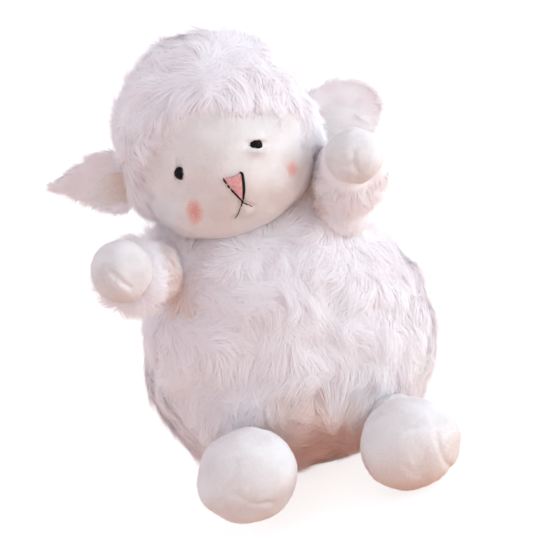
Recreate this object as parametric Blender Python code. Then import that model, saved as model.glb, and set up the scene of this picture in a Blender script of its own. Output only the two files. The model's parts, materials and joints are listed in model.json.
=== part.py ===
"""A plush sheep that sits on its seat: fleece body, head, ears, sleeves and tail over stuffing,
with a short plush face, hands and legs.

The seat is at z = 0, the sheep looks along -Y, and its own left side is at +X.
Every skin is a separate shell, and its stuffing is a separate filling inside it.
Limbs, head and tail turn in sockets that are concentric with their joints.
"""
import math

import bmesh
import bpy
from mathutils import Matrix, Vector

MM = 0.001
DEG = math.pi / 180

# Clearance between touching pieces, clearance in a socket that turns, and the overrun of every cutter
GAP = 0.3 * MM
SOCKET_CLEARANCE = 0.5 * MM
OVERRUN = 12 * MM
WELD = 0.005 * MM

# Torso
TORSO_HEIGHT = 135 * MM
TORSO_HALF_WIDTH = 74 * MM
TORSO_LEAN = 8 * MM
SEAT_RADIUS = 39 * MM
SEAT_CUT = 0.5 * MM
FLEECE = 7 * MM
BELLY_HEIGHT_SHARE = 0.37
TORSO_DEPTH_SHARE = 0.73
SHOULDER_FULLNESS = 2.3

# Head
HEAD_RADIUS = 48 * MM
HEAD_SINK = 10.5 * MM
HEAD_FLEECE = 6 * MM
FACE_PLUSH = 3 * MM
FACE_TILT = -33 * DEG
FACE_HALF_ANGLE = 55 * DEG
MUZZLE_TILT = -22 * DEG
MUZZLE_SPREAD = 24 * DEG
MUZZLE_SHARE = 0.07

# Gathered collar between torso and head
COLLAR_INNER_RADIUS = 12 * MM
COLLAR_OUTER_RADIUS = 20 * MM
COLLAR_DEPTH = 4 * MM
COLLAR_ROUNDING = 1.5 * MM

# Eyes: bead, shank and washer
EYE_RADIUS = 3.1 * MM
EYE_DOME = 2.4 * MM
EYE_SINK = 0.8 * MM
SHANK_RADIUS = 1.0 * MM
SHANK_LENGTH = 7.5 * MM
WASHER_RADIUS = 5.5 * MM
WASHER_THICKNESS = 1.4 * MM
EYE_TURN = {"left": 20.2 * DEG, "right": -26.5 * DEG}
EYE_LIFT = {"left": -1.2 * DEG, "right": -2.8 * DEG}

# Embroidered nose
NOSE_WIDTH = 8.4 * MM
NOSE_HEIGHT = 14 * MM
NOSE_RISE = 1.2 * MM
NOSE_ROUNDING = 1.2 * MM
NOSE_TURN = 2 * DEG
NOSE_TILT = -19.4 * DEG

# Ears
EAR_LENGTH = 31 * MM
EAR_HALF_WIDTH = 15.5 * MM
EAR_HALF_THICKNESS = 5 * MM
EAR_ROOT_RADIUS = 2 * MM
EAR_TILT = {"left": -12 * DEG, "right": -6 * DEG}
EAR_SWEEP_SHARE = {"left": 0.05, "right": 0.22}
EAR_ROOT_WIDTH_SHARE = 0.78
LINING_SIZE_SHARE = 0.86
LINING_START_SHARE = 0.12
LINING_THICKNESS_SHARE = 0.55
EAR_SHARES = (
    (0.12, 0.86, 0.62),
    (0.30, 1.00, 0.92),
    (0.50, 0.98, 1.00),
    (0.70, 0.82, 0.90),
    (0.85, 0.57, 0.72),
    (0.95, 0.31, 0.45),
)

# Arms: fleece sleeve and short plush hand
ARM_LENGTH = 49 * MM
SLEEVE_RADIUS = 19 * MM
HAND_RADIUS = 14.5 * MM
SHOULDER_RADIUS = 17.5 * MM
SHOULDER_OUTSET = 3 * MM
SLEEVE_FLEECE = 6 * MM
HAND_PLUSH = 2.5 * MM
SHOULDER_HEIGHT_SHARE = 0.87
SHOULDER_TURN = 20 * DEG
ARM_LIFT = {"left": 50 * DEG, "right": 28 * DEG}
ARM_TURN = {"left": 68 * DEG, "right": 62 * DEG}
SLEEVE_SHARES = ((0.46, 0.91), (0.60, 0.98), (0.74, 1.00), (0.88, 0.95), (1.00, 0.83))
HAND_SHARES = ((0.60, 0.90), (0.67, 0.98), (0.74, 1.00), (0.81, 0.95), (0.88, 0.81), (0.94, 0.60), (0.98, 0.34))

# Legs: short plush skin
LEG_LENGTH = 51 * MM
FOOT_RADIUS = 23 * MM
HIP_RADIUS = 19 * MM
HIP_OUTSET = 3 * MM
LEG_PLUSH = 2.5 * MM
LEG_OPENING_RADIUS = 7 * MM
FLOOR_CLEARANCE = 0.5 * MM
HIP_TURN = 57 * DEG
LEG_LIFT = {"left": 0, "right": 15 * DEG}
LEG_TURN = {"left": 88 * DEG, "right": 84 * DEG}
LEG_SHARES = (
    (0.32, 0.84), (0.43, 0.92), (0.54, 0.98), (0.63, 1.00), (0.72, 0.97),
    (0.81, 0.88), (0.89, 0.72), (0.95, 0.50), (0.985, 0.27),
)

# Tail
TAIL_LENGTH = 28 * MM
TAIL_RADIUS = 11 * MM
TAIL_ROOT_RADIUS = 9 * MM
TAIL_HEIGHT = 34 * MM
TAIL_LIFT = -20 * DEG
TAIL_SHARES = ((0.30, 0.86), (0.45, 0.99), (0.60, 1.00), (0.75, 0.88), (0.88, 0.62), (0.97, 0.30))

# Facets
TORSO_STEPS = 32
HEAD_STEPS = 28
LIMB_STEPS = 18
SMALL_STEPS = 16
CORNER_STEPS = 6
INSIDE_STEPS = 3
ROOT_CONE = 60 * DEG
SHARP_ANGLE = 40 * DEG

SIDES = {"left": 1, "right": -1}
AXIS = Vector((0, 0, 1))

FLEECE_COLOUR = (0.86, 0.82, 0.89)
PLUSH_COLOUR = (0.90, 0.87, 0.86)
FILLING_COLOUR = (0.93, 0.93, 0.92)


def material(name, colour, roughness):
    """A plain surface with the piece's own colour."""
    mat = bpy.data.materials.new(name)
    mat.use_nodes = True
    shader = mat.node_tree.nodes["Principled BSDF"]
    shader.inputs["Base Color"].default_value = (*colour, 1)
    shader.inputs["Roughness"].default_value = roughness
    shader.inputs["Metallic"].default_value = 0
    return mat


def add_object(name, bm, colour, roughness, origin=Vector(), turn=None):
    """Turn a bmesh into a named object that stands at its origin."""
    bmesh.ops.remove_doubles(bm, verts=bm.verts, dist=WELD)
    bmesh.ops.recalc_face_normals(bm, faces=bm.faces)
    mesh = bpy.data.meshes.new(name)
    bm.to_mesh(mesh)
    bm.free()
    mesh.shade_smooth()
    mesh.set_sharp_from_angle(angle=SHARP_ANGLE)
    mesh.materials.append(material(name, colour, roughness))
    obj = bpy.data.objects.new(name, mesh)
    bpy.context.scene.collection.objects.link(obj)
    rotation = turn.to_matrix().to_4x4() if turn else Matrix()
    obj.matrix_world = Matrix.Translation(origin) @ rotation
    return obj


def cutter(name, bm, origin=Vector(), turn=None):
    """A guide that only cuts other pieces."""
    obj = add_object(name, bm, FILLING_COLOUR, 1, origin, turn)
    obj.hide_render = True
    obj.display_type = "WIRE"
    return obj


def cut(obj, *tools):
    """Take each tool's volume away from the object."""
    for tool in tools:
        boolean = obj.modifiers.new(tool.name, "BOOLEAN")
        boolean.operation = "DIFFERENCE"
        boolean.solver = "EXACT"
        boolean.object = tool


def revolve(path, steps):
    """Spin a path of (along, radius) points about local Z."""
    bm = bmesh.new()
    verts = [bm.verts.new((radius, 0, along)) for along, radius in path]
    edges = [bm.edges.new(pair) for pair in zip(verts, verts[1:])]
    bmesh.ops.spin(
        bm, geom=verts + edges, cent=Vector(), axis=AXIS, angle=2 * math.pi, steps=steps, use_merge=True
    )
    bmesh.ops.remove_doubles(bm, verts=bm.verts, dist=WELD)
    return bm


def arc(radius, start, end, steps):
    """Points of a circle about the origin, by angle from the +along direction."""
    angles = [start + (end - start) * k / steps for k in range(steps + 1)]
    return [(radius * math.cos(a), radius * math.sin(a) if 0 < a < math.pi else 0) for a in angles]


def ball(radius, steps):
    """A closed ball whose facets lie outside the given radius, for sockets."""
    corner = radius / math.cos(math.pi / steps) ** 2
    return revolve(arc(corner, 0, math.pi, steps // 2), steps)


def heading(side, turn, lift):
    """A direction that turns from straight sideways to the front, and lifts above level."""
    level = math.cos(lift)
    return Vector((SIDES[side] * level * math.cos(turn), -level * math.sin(turn), math.sin(lift)))


def aim(direction):
    """The rotation that lays local Z along a direction."""
    return direction.to_track_quat("Z", "Y")


# Torso

def torso_frame(inset):
    """Floor, belly height, half-width, seat radius and crown of the torso's form, all inset alike."""
    floor = inset - SEAT_CUT
    belly = TORSO_HEIGHT * BELLY_HEIGHT_SHARE
    return floor, belly, TORSO_HALF_WIDTH - inset, SEAT_RADIUS - inset, TORSO_HEIGHT - inset


def torso_path(inset, top, steps):
    """The torso's side from its seat to the given angle on its domed shoulders."""
    floor, belly, half_width, seat, crown = torso_frame(inset)
    path = [(floor, 0)]
    for k in range(steps + 1):
        angle = 90 * DEG * k / steps
        path.append((floor + (belly - floor) * (1 - math.cos(angle)), seat + (half_width - seat) * math.sin(angle)))
    power = 2 / SHOULDER_FULLNESS
    for k in range(1, 2 * steps + 1):
        angle = top * k / (2 * steps)
        radius = half_width * max(math.cos(angle), 0) ** power
        path.append((belly + (crown - belly) * math.sin(angle) ** power, radius if angle < 90 * DEG else 0))
    return path


def torso_radius(height):
    """The torso's half-width at a height."""
    floor, belly, half_width, seat, crown = torso_frame(0)
    if height < belly:
        return seat + (half_width - seat) * math.sqrt(1 - ((belly - height) / (belly - floor)) ** 2)
    rise = (height - belly) / (crown - belly)
    return half_width * (1 - rise ** SHOULDER_FULLNESS) ** (1 / SHOULDER_FULLNESS)


def lean(height):
    """How far the upper torso leans to the front."""
    return -TORSO_LEAN * (height / TORSO_HEIGHT) ** 2


def torso_point(side, turn, height):
    """A point on the torso's skin, turned from its side to its front."""
    radius = torso_radius(height)
    depth = radius * TORSO_DEPTH_SHARE
    return Vector((SIDES[side] * radius * math.cos(turn), lean(height) - depth * math.sin(turn), height))


def torso_normal(side, turn, height):
    """Straight out of the torso's skin."""
    around = torso_point(side, turn + DEG, height) - torso_point(side, turn - DEG, height)
    upward = torso_point(side, turn, height + GAP) - torso_point(side, turn, height - GAP)
    return (upward.cross(around) * SIDES[side]).normalized()


def torso_form(path):
    """The oval, leaning torso that a round path stands for."""
    bm = revolve(path, TORSO_STEPS)
    for vert in bm.verts:
        vert.co.y = vert.co.y * TORSO_DEPTH_SHARE + lean(vert.co.z)
    return bm


def cut_seat_flat(bm):
    """Press the lowest part of a form flat at z = 0."""
    geometry = bm.verts[:] + bm.edges[:] + bm.faces[:]
    bmesh.ops.bisect_plane(bm, geom=geometry, dist=WELD, plane_co=Vector(), plane_no=AXIS, clear_inner=True)
    bmesh.ops.holes_fill(bm, edges=bm.edges[:], sides=0)
    return bm


def neck_hole_angle():
    """Where the dome is as deep as the collar is wide, so that the fleece ends at the collar."""
    share = (COLLAR_OUTER_RADIUS + GAP) / (TORSO_HALF_WIDTH * TORSO_DEPTH_SHARE)
    return math.acos(share ** (SHOULDER_FULLNESS / 2))


def build_torso(sockets):
    """The fleece skin, open at the neck and where the limbs go in, and its filling."""
    outer = torso_path(0, neck_hole_angle(), CORNER_STEPS)
    inner = torso_path(FLEECE, neck_hole_angle(), INSIDE_STEPS)
    skin = cut_seat_flat(torso_form(outer + inner[::-1]))
    fleece = add_object("body_fleece", skin, FLEECE_COLOUR, 0.9)
    core = torso_path(FLEECE + GAP, neck_hole_angle(), INSIDE_STEPS)
    filling = torso_form(core + [(core[-1][0] + GAP, 0)])
    stuffing = add_object("body_stuffing", filling, FILLING_COLOUR, 1)
    cut(fleece, *sockets)
    cut(stuffing, *sockets)


# Head

HEAD_CENTRE = Vector((0, lean(TORSO_HEIGHT), TORSO_HEIGHT - HEAD_SINK + HEAD_RADIUS))
SKIN_INNER_RADIUS = HEAD_RADIUS - HEAD_FLEECE
FACE_RADIUS = SKIN_INNER_RADIUS + FACE_PLUSH
FACE_AXIS = Vector((0, -math.cos(FACE_TILT), math.sin(FACE_TILT)))
MUZZLE_AXIS = Vector((0, -math.cos(MUZZLE_TILT), math.sin(MUZZLE_TILT)))


def muzzle(direction):
    """How much fuller than a ball the face is in a direction."""
    away = direction.angle(MUZZLE_AXIS)
    return 1 + MUZZLE_SHARE * math.exp(-((away / MUZZLE_SPREAD) ** 2))


def fill_out_muzzle(obj):
    """Swell a piece of the head about the head's centre."""
    for vert in obj.data.vertices:
        world = obj.matrix_world.to_3x3() @ vert.co
        if world.length > WELD:
            vert.co *= muzzle(world.normalized())


def face_direction(turn, lift):
    """A direction from the head's centre towards the face."""
    return Vector((math.cos(lift) * math.sin(turn), -math.cos(lift) * math.cos(turn), math.sin(lift)))


def build_head():
    """The fleece hood, the face panel sewn into it, and the filling behind both."""
    seam = GAP / HEAD_RADIUS
    hood_end = FACE_HALF_ANGLE + seam
    panel_end = FACE_HALF_ANGLE - seam
    outer = arc(HEAD_RADIUS, math.pi, hood_end, 2 * CORNER_STEPS)
    inner = arc(SKIN_INNER_RADIUS, hood_end, math.pi, CORNER_STEPS + 2)
    turn = aim(FACE_AXIS)
    add_object("head_fleece", revolve(outer + inner, HEAD_STEPS), FLEECE_COLOUR, 0.9, HEAD_CENTRE, turn)

    outer = arc(FACE_RADIUS, 0, panel_end, CORNER_STEPS + 2)
    inner = arc(SKIN_INNER_RADIUS, panel_end, 0, CORNER_STEPS)
    panel = add_object("face_panel", revolve(outer + inner, HEAD_STEPS), PLUSH_COLOUR, 0.85, HEAD_CENTRE, turn)
    fill_out_muzzle(panel)

    core = SKIN_INNER_RADIUS - GAP
    path = arc(core, math.pi, hood_end, CORNER_STEPS + 2) + arc(core, panel_end, 0, CORNER_STEPS)
    stuffing = add_object("head_stuffing", revolve(path, HEAD_STEPS), FILLING_COLOUR, 1, HEAD_CENTRE, turn)
    fill_out_muzzle(stuffing)
    return panel, stuffing


def collar_seat(inner, outer):
    """Points of the head's socket from one radius to another, under the head's centre."""
    seat = HEAD_RADIUS + SOCKET_CLEARANCE
    start = math.pi - math.asin(inner / seat)
    return arc(seat, start, math.pi - math.asin(outer / seat), CORNER_STEPS // 2)


def build_collar():
    """The gathered neck edge of the body fleece, which turns with the head, and the socket of both."""
    inner, outer = COLLAR_INNER_RADIUS, COLLAR_OUTER_RADIUS
    floor = -HEAD_RADIUS - COLLAR_DEPTH
    path = [(floor, inner), (floor, outer - COLLAR_ROUNDING), (floor + COLLAR_ROUNDING, outer)]
    path += collar_seat(outer, inner) + [(floor, inner)]
    add_object("neck_collar", revolve(path, LIMB_STEPS), FLEECE_COLOUR, 0.9, HEAD_CENTRE)

    inner, outer, floor = inner - GAP, outer + GAP, floor - GAP
    seat = HEAD_RADIUS + SOCKET_CLEARANCE
    rest = arc(seat, math.pi - math.asin(outer / seat), 0, 2 * CORNER_STEPS)
    path = [(-seat, 0)] + collar_seat(inner / 2, inner) + [(floor, inner), (floor, outer)] + rest
    return cutter("neck_socket", revolve(path, HEAD_STEPS), HEAD_CENTRE)


def build_eye(side, panel, stuffing):
    """A bead on a shank that goes through the face into a washer."""
    direction = face_direction(EYE_TURN[side], EYE_LIFT[side])
    turn = aim(direction)
    swell = muzzle(direction)
    back = FACE_RADIUS * swell - EYE_SINK
    dome = [(EYE_DOME * math.sin(a), EYE_RADIUS * math.cos(a)) for a in (0, 30 * DEG, 60 * DEG)]
    bead = [(EYE_DOME, 0)] + dome[::-1] + [(0, SHANK_RADIUS), (-SHANK_LENGTH, SHANK_RADIUS), (-SHANK_LENGTH, 0)]
    origin = HEAD_CENTRE + direction * back
    add_object("eye_" + side, revolve(bead, SMALL_STEPS), (0.01, 0.01, 0.012), 0.12, origin, turn)

    hole = SHANK_RADIUS + GAP
    face = math.sqrt((SKIN_INNER_RADIUS * swell - GAP) ** 2 - WASHER_RADIUS ** 2) - back - GAP
    rear = face - WASHER_THICKNESS
    ring = [(face, hole), (face, WASHER_RADIUS), (rear, WASHER_RADIUS), (rear, hole), (face, hole)]
    add_object("eye_washer_" + side, revolve(ring, SMALL_STEPS), (0.85, 0.85, 0.82), 0.4, origin, turn)

    seat = [(OVERRUN, 0), (OVERRUN, EYE_RADIUS + GAP), (-GAP, EYE_RADIUS + GAP)]
    seat += [(-GAP, hole), (-SHANK_LENGTH - GAP, hole), (-SHANK_LENGTH - GAP, 0)]
    cut(panel, cutter("eye_seat_" + side, revolve(seat, SMALL_STEPS), origin, turn))
    wide = WASHER_RADIUS + GAP
    pocket = [(OVERRUN, 0), (OVERRUN, wide), (rear - GAP, wide), (rear - GAP, hole)]
    pocket += [(-SHANK_LENGTH - GAP, hole), (-SHANK_LENGTH - GAP, 0)]
    cut(stuffing, cutter("washer_pocket_" + side, revolve(pocket, SMALL_STEPS), origin, turn))


def build_nose():
    """A stitched triangle that lies on the muzzle."""
    direction = face_direction(NOSE_TURN, NOSE_TILT)
    turn = aim(direction)
    surface = FACE_RADIUS * muzzle(direction)
    bm = bmesh.new()
    corners = ((-NOSE_WIDTH / 2, NOSE_HEIGHT / 2), (NOSE_WIDTH / 2, NOSE_HEIGHT / 2), (0, -NOSE_HEIGHT / 2))
    face = bm.faces.new([bm.verts.new((x, y, NOSE_RISE)) for x, y in corners])
    bmesh.ops.bevel(
        bm, geom=face.verts[:], offset=NOSE_ROUNDING, segments=3, profile=0.5, affect="VERTICES", offset_type="OFFSET"
    )
    extruded = bmesh.ops.extrude_face_region(bm, geom=bm.faces[:])
    lowered = [item for item in extruded["geom"] if isinstance(item, bmesh.types.BMVert)]
    bmesh.ops.translate(bm, verts=lowered, vec=-AXIS * (NOSE_RISE + FACE_PLUSH))
    origin = HEAD_CENTRE + direction * surface
    nose = add_object("nose_patch", bm, (0.80, 0.38, 0.40), 0.6, origin, turn)

    form = cutter("face_form", ball(FACE_RADIUS + GAP, 2 * HEAD_STEPS), HEAD_CENTRE)
    fill_out_muzzle(form)
    cut(nose, form)


# Ears

def leaf(side, rings):
    """A closed leaf from (along, half-width, half-thickness, sweep) rings, with a flat root and a tip point."""
    bm = bmesh.new()
    loops = []
    for along, width, thickness, sweep in rings:
        loop = []
        for k in range(SMALL_STEPS if width else 1):
            angle = 2 * math.pi * k / SMALL_STEPS
            across = width * math.cos(angle) + sweep
            loop.append(bm.verts.new((SIDES[side] * along, thickness * math.sin(angle), across)))
        loops.append(loop)
    bm.faces.new(loops[0])
    for low, high in zip(loops, loops[1:]):
        for k in range(SMALL_STEPS):
            after = (k + 1) % SMALL_STEPS
            if len(high) == 1:
                bm.faces.new((low[k], low[after], high[0]))
            else:
                bm.faces.new((low[k], low[after], high[after], high[k]))
    bmesh.ops.recalc_face_normals(bm, faces=bm.faces)
    return bm


def halve(bm, front):
    """Keep the front or the back half of a leaf, clear of the other half."""
    geometry = bm.verts[:] + bm.edges[:] + bm.faces[:]
    keep = Vector((0, -1 if front else 1, 0))
    bmesh.ops.bisect_plane(
        bm, geom=geometry, dist=WELD, plane_co=keep * (GAP / 2), plane_no=keep, clear_inner=True
    )
    bmesh.ops.holes_fill(bm, edges=bm.edges[:], sides=0)
    return bm


def ear_sweep(side, share):
    """How far the ear's midline rises above its root at a share of its length."""
    return EAR_LENGTH * EAR_SWEEP_SHARE[side] * share ** 2


def build_ear(side):
    """A fleece back and a short plush lining, sewn to the head along a straight root."""
    tilt = EAR_TILT[side]
    direction = Vector((SIDES[side] * math.cos(tilt), 0, math.sin(tilt)))
    origin = HEAD_CENTRE + direction * (HEAD_RADIUS + EAR_ROOT_RADIUS + GAP)
    turn = Matrix.Rotation(-SIDES[side] * tilt, 3, "Y").to_quaternion()
    root_width = EAR_HALF_WIDTH * EAR_ROOT_WIDTH_SHARE

    rings = []
    for angle in (70 * DEG, 45 * DEG, 0):
        rings.append((-EAR_ROOT_RADIUS * math.sin(angle), root_width, EAR_ROOT_RADIUS * math.cos(angle), 0))
    for share, width, thickness in EAR_SHARES:
        rings.append(
            (EAR_LENGTH * share, EAR_HALF_WIDTH * width, EAR_HALF_THICKNESS * thickness, ear_sweep(side, share))
        )
    rings.append((EAR_LENGTH, 0, 0, ear_sweep(side, 1)))
    back = halve(leaf(side, rings), False)
    add_object("ear_fleece_" + side, back, FLEECE_COLOUR, 0.9, origin, turn)

    rings = []
    for share, width, thickness in EAR_SHARES:
        along = LINING_START_SHARE + share * (LINING_SIZE_SHARE - LINING_START_SHARE)
        rings.append(
            (
                EAR_LENGTH * along,
                EAR_HALF_WIDTH * width * LINING_SIZE_SHARE,
                EAR_HALF_THICKNESS * thickness * LINING_THICKNESS_SHARE,
                ear_sweep(side, along),
            )
        )
    rings.append((EAR_LENGTH * LINING_SIZE_SHARE, 0, 0, ear_sweep(side, LINING_SIZE_SHARE)))
    front = halve(leaf(side, rings), True)
    add_object("ear_lining_" + side, front, PLUSH_COLOUR, 0.85, origin, turn)


# Limbs

def shares_path(shares, length, radius):
    """Points of a limb's side and tip, as shares of its length and its fullest radius."""
    return [(length * along, radius * wide) for along, wide in shares] + [(length, 0)]


def inset_path(path, inset):
    """The same side moved inwards square to itself, down to a pole before the limb's tip."""
    tip = path[-1][0] - inset
    moved = []
    for before, here, after in zip(path[:1] + path, path[:-1], path[1:]):
        step_along, step_out = after[0] - before[0], after[1] - before[1]
        step = math.hypot(step_along, step_out)
        along, radius = here[0] + inset * step_out / step, here[1] - inset * step_along / step
        if radius > 0 and along < tip:
            moved.append((along, radius))
    return moved + [(tip, 0)]


def socket(name, centre, radius):
    """The ball-shaped hollow that a limb's root turns in."""
    return cutter(name, ball(radius + SOCKET_CLEARANCE, LIMB_STEPS), centre)


def build_arm(side):
    """A fleece sleeve, a short plush hand and one filling through both."""
    height = TORSO_HEIGHT * SHOULDER_HEIGHT_SHARE
    outward = torso_normal(side, SHOULDER_TURN, height)
    shoulder = torso_point(side, SHOULDER_TURN, height) + outward * SHOULDER_OUTSET
    turn = aim(heading(side, ARM_TURN[side], ARM_LIFT[side]))
    hand = shares_path(HAND_SHARES, ARM_LENGTH, HAND_RADIUS)
    wrist = ARM_LENGTH * HAND_SHARES[0][0]
    palm = inset_path(hand, HAND_PLUSH)
    bore = palm[0][1]
    root = SLEEVE_FLEECE - SHOULDER_RADIUS

    outside = arc(SHOULDER_RADIUS, math.pi, ROOT_CONE, CORNER_STEPS)
    outside += shares_path(SLEEVE_SHARES, wrist - GAP, SLEEVE_RADIUS)[:-1]
    inside = [(wrist - GAP, bore), (wrist / 2, bore), (0, bore / 2), (root, 0)]
    add_object("sleeve_" + side, revolve(outside + inside, LIMB_STEPS), FLEECE_COLOUR, 0.9, shoulder, turn)
    rim = [(wrist, bore)]
    add_object(
        "hand_" + side, revolve(hand[::-1] + rim + palm[1:], LIMB_STEPS), PLUSH_COLOUR, 0.85, shoulder, turn
    )
    filling = [(root + GAP, 0), (GAP, bore / 2 - GAP), (wrist / 2 + GAP, bore - GAP), (wrist, bore - GAP)]
    filling += inset_path(hand, HAND_PLUSH + GAP)[1:]
    add_object("arm_stuffing_" + side, revolve(filling, LIMB_STEPS), FILLING_COLOUR, 1, shoulder, turn)
    return socket("shoulder_socket_" + side, shoulder, SHOULDER_RADIUS)


def build_leg(side):
    """A short plush leg, open at its root, with its filling."""
    height = FOOT_RADIUS + FLOOR_CLEARANCE
    hip = torso_point(side, HIP_TURN, height)
    hip.y -= HIP_OUTSET
    turn = aim(heading(side, LEG_TURN[side], LEG_LIFT[side]))
    outline = shares_path(LEG_SHARES, LEG_LENGTH, FOOT_RADIUS)
    bore = HIP_RADIUS - LEG_PLUSH
    rim = math.pi - math.asin(LEG_OPENING_RADIUS / HIP_RADIUS)
    mouth = math.pi - math.asin(LEG_OPENING_RADIUS / bore)

    outside = arc(HIP_RADIUS, rim, ROOT_CONE, CORNER_STEPS) + outline
    inside = arc(bore, mouth, ROOT_CONE, INSIDE_STEPS) + inset_path(outline, LEG_PLUSH)
    add_object("leg_" + side, revolve(outside[::-1] + inside, LIMB_STEPS), PLUSH_COLOUR, 0.85, hip, turn)

    core = bore - GAP
    filling = arc(core, math.pi, mouth, 2) + arc(core, mouth, ROOT_CONE, INSIDE_STEPS)
    filling += inset_path(outline, LEG_PLUSH + GAP)
    add_object("leg_stuffing_" + side, revolve(filling, LIMB_STEPS), FILLING_COLOUR, 1, hip, turn)
    return socket("hip_socket_" + side, hip, HIP_RADIUS)


def build_tail():
    """A small fleece tail at the back of the seat."""
    radius = torso_radius(TAIL_HEIGHT) * TORSO_DEPTH_SHARE
    root = Vector((0, lean(TAIL_HEIGHT) + radius, TAIL_HEIGHT))
    direction = Vector((0, math.cos(TAIL_LIFT), math.sin(TAIL_LIFT)))
    path = arc(TAIL_ROOT_RADIUS, math.pi, ROOT_CONE, CORNER_STEPS)
    path += shares_path(TAIL_SHARES, TAIL_LENGTH, TAIL_RADIUS)
    add_object("tail_fleece", revolve(path, SMALL_STEPS), FLEECE_COLOUR, 0.9, root, aim(direction))
    return socket("tail_socket", root, TAIL_ROOT_RADIUS)


def main():
    """Clear the scene and build every piece."""
    for obj in list(bpy.data.objects):
        bpy.data.objects.remove(obj, do_unlink=True)
    sockets = [build_collar()]
    for side in SIDES:
        sockets.append(build_arm(side))
        sockets.append(build_leg(side))
        build_ear(side)
    sockets.append(build_tail())
    build_torso(sockets)
    panel, stuffing = build_head()
    for side in SIDES:
        build_eye(side, panel, stuffing)
    build_nose()


main()
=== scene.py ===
"""Looks of a sitting plush sheep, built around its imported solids.

Every skin is a smooth cloth form with its pile modelled on it: long, clumped fleece on the body, hood,
ears, sleeves and tail, and a short nap on the face, hands, legs and ear linings. Each form follows the
box of its solid and the place of its joint.
"""
import json
import math

import bpy
import numpy as np
from mathutils import Matrix, Vector
from mathutils.kdtree import KDTree


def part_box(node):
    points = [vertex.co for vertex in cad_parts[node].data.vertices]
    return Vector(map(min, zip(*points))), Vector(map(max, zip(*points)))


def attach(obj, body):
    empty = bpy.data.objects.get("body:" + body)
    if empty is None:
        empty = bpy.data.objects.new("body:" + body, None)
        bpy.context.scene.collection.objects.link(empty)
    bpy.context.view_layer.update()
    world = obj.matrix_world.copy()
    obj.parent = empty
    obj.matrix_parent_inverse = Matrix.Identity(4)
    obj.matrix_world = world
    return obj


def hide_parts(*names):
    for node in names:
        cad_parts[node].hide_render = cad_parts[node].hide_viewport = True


MM = 0.001
DEG = math.pi / 180
WELD = 0.01 * MM
FLOOR_GAP = 0.4 * MM
SIDES = {"left": 1, "right": -1}

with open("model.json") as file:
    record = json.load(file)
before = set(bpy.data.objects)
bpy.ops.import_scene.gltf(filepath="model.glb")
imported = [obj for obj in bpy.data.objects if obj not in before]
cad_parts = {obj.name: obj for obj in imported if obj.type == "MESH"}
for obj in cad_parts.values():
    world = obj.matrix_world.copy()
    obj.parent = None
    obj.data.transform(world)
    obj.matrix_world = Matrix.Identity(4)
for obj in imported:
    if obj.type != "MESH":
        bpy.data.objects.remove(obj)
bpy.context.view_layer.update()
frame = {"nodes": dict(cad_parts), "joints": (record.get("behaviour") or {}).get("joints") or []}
JOINTS = {joint["name"]: joint for joint in frame["joints"]}


def joint_place(name):
    """Where a joint is, as an array."""
    return np.array(JOINTS[name]["pos_m"], float)


# Head and face
HEAD_CENTRE = joint_place("head_nod")
HEAD_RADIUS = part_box("head_fleece")[1].x
FACE_RADIUS = HEAD_RADIUS - 3 * MM
HOOD_INSET = 2.2 * MM
FACE_TILT = -33 * DEG
FACE_HALF_ANGLE = 55 * DEG
FACE_TUCK = 7 * DEG
MUZZLE_TILT = -22 * DEG
MUZZLE_SPREAD = 24 * DEG
MUZZLE_SHARE = 0.07
JOWL = 4.6 * MM
SOCKET_DEPTH = 1.3 * MM
SOCKET_REACH = 6 * MM
LID_REACH = 4.6 * MM
MOUTH_CREASE = (0.9 * MM, 1.6 * MM)
NOSE_ROWS = 17
SEAM_INSET = 0.5 * MM
HEM_INSET = 1.5 * MM
CHIN_HEIGHT = 0.8 * MM
CHIN_REACH = 3.6 * MM
CHEEK_REACH = 12 * MM
HOOD_FILLS = ((-0.88, -0.12, -0.46, 5.5), (0.867, -0.10, -0.40, 5.5))
MOUTH_LINES = (
    ((242.0, 200.0), (240.5, 205.5), (238.2, 212.5), (234.6, 218.0)),
    ((242.6, 201.5), (247.5, 203.6), (252.6, 206.4)),
)
BLUSHES = (((195.3, 210.5), 2.8 * MM, 4.1 * MM, 1.1), ((291.3, 167.0), 2.5 * MM, 3.6 * MM, 0.6))

# Torso
NECK_SINK = 10.5 * MM
TORSO_HEIGHT = HEAD_CENTRE[2] - HEAD_RADIUS + NECK_SINK
TORSO_HALF_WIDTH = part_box("body_fleece")[1].x
TORSO_LEAN = -HEAD_CENTRE[1]
SEAT_RADIUS = 39 * MM
TORSO_INSET = 1.3 * MM
NECK_DIP = 3.5 * MM
BELLY_HEIGHT_SHARE = 0.37
TORSO_DEPTH_SHARE = 0.73
SHOULDER_FULLNESS = 2.03

# Millimetres: a fill's centre, height and reach, a tuft's root, reach and tip, a painted warm shade spot's
# centre and reach
SHOULDER_FILLS = (
    (34, -11, 129, 11, 14), (36, -9, 137, 8, 10), (55, -8, 107, 5, 12),
    (-37, -3, 126, 9, 15), (-43, -2, 129, 8, 12),
)
BELLY_TUFTS = (((12, -53, 44), 9, (5.5, -54.5, 27.5)),)
# Painted warm shade on the fleece, low between the legs, beside the raised arm, and between the other sleeve
# and the body
PAINTED_SHADE_SPOTS = (
    ((-3, -50, 26), (27, 30, 27), 0.9),
    ((36, -22, 133), (8, 14, 13), 0.8),
    ((-41, -27, 115), (6, 14, 20), 0.65),
)

# Soft lumps of each form: height and wavelength in millimetres, and a seed
SWELLS = {
    "body": ((0.9, 38, 64), (0.7, 16, 62)),
    "hood": ((0.8, 34, 71), (0.7, 15, 72)),
    "face": ((0.25, 16, 81),),
    "ear": ((0.3, 12, 90),),
    "sleeve": ((0.9, 22, 100),),
    "hand": ((0.35, 14, 110),),
    "leg": ((0.4, 18, 120),),
    "tail": ((0.4, 12, 130),),
}
LUMP_WAVES = 24

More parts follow.
